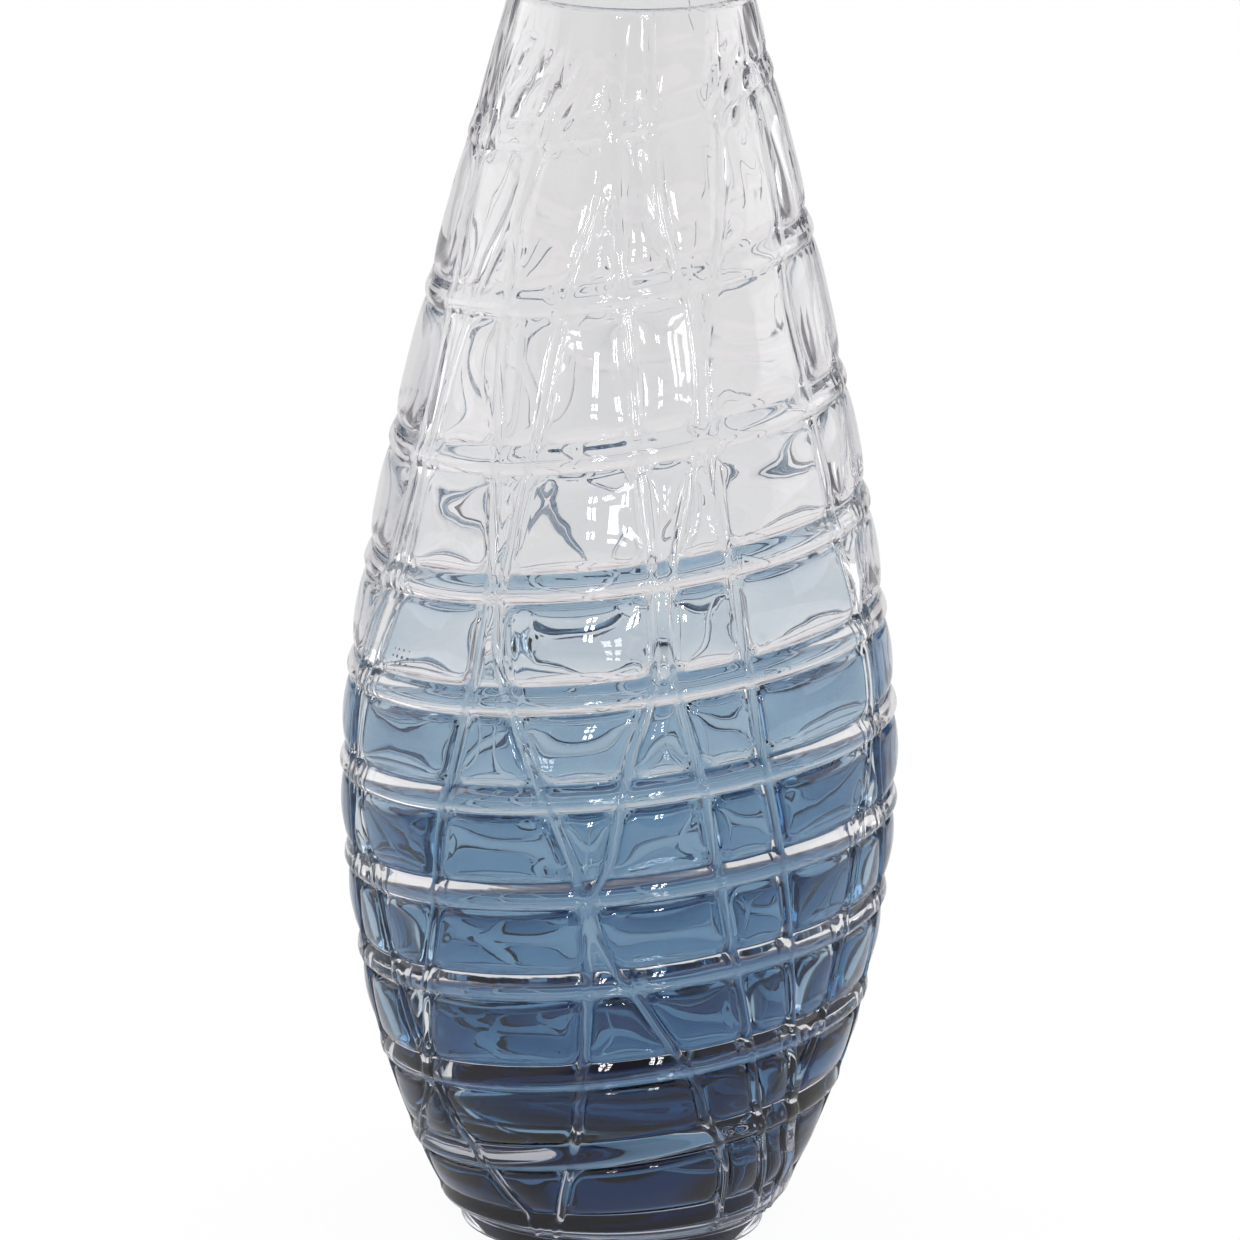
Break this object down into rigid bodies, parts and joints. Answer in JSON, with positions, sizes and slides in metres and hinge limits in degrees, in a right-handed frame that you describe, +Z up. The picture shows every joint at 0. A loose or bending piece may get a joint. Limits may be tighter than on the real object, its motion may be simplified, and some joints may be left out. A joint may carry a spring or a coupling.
{
  "type": "crystal vase",
  "caption": "Tall ovoid crystal vase of clear glass with a raised net of ribs, a narrow mouth and a ground foot; blue glass fills the cells between its lower rings and grows paler upwards.",
  "frame": {"origin": "centre of the foot's ground underside, on the surface that the vase stands on", "axes": "+Z up along the vase's axis to the mouth; -Y is the side that the net's middle cross faces; the rings climb towards +X"},
  "size_m": [0.1682, 0.1684, 0.38],
  "materials": {
    "clear_crystal": "blown, cut and polished clear crystal",
    "blue_glass": "transparent cobalt-grey blue glass, fused to the clear"
  },
  "bodies": {
    "root": {"clear_body": "clear_crystal", "blue_belt_1": "blue_glass", "blue_belt_2": "blue_glass", "blue_belt_3": "blue_glass", "blue_belt_4": "blue_glass", "blue_belt_5": "blue_glass", "blue_belt_6": "blue_glass"}
  },
  "joints": []
}
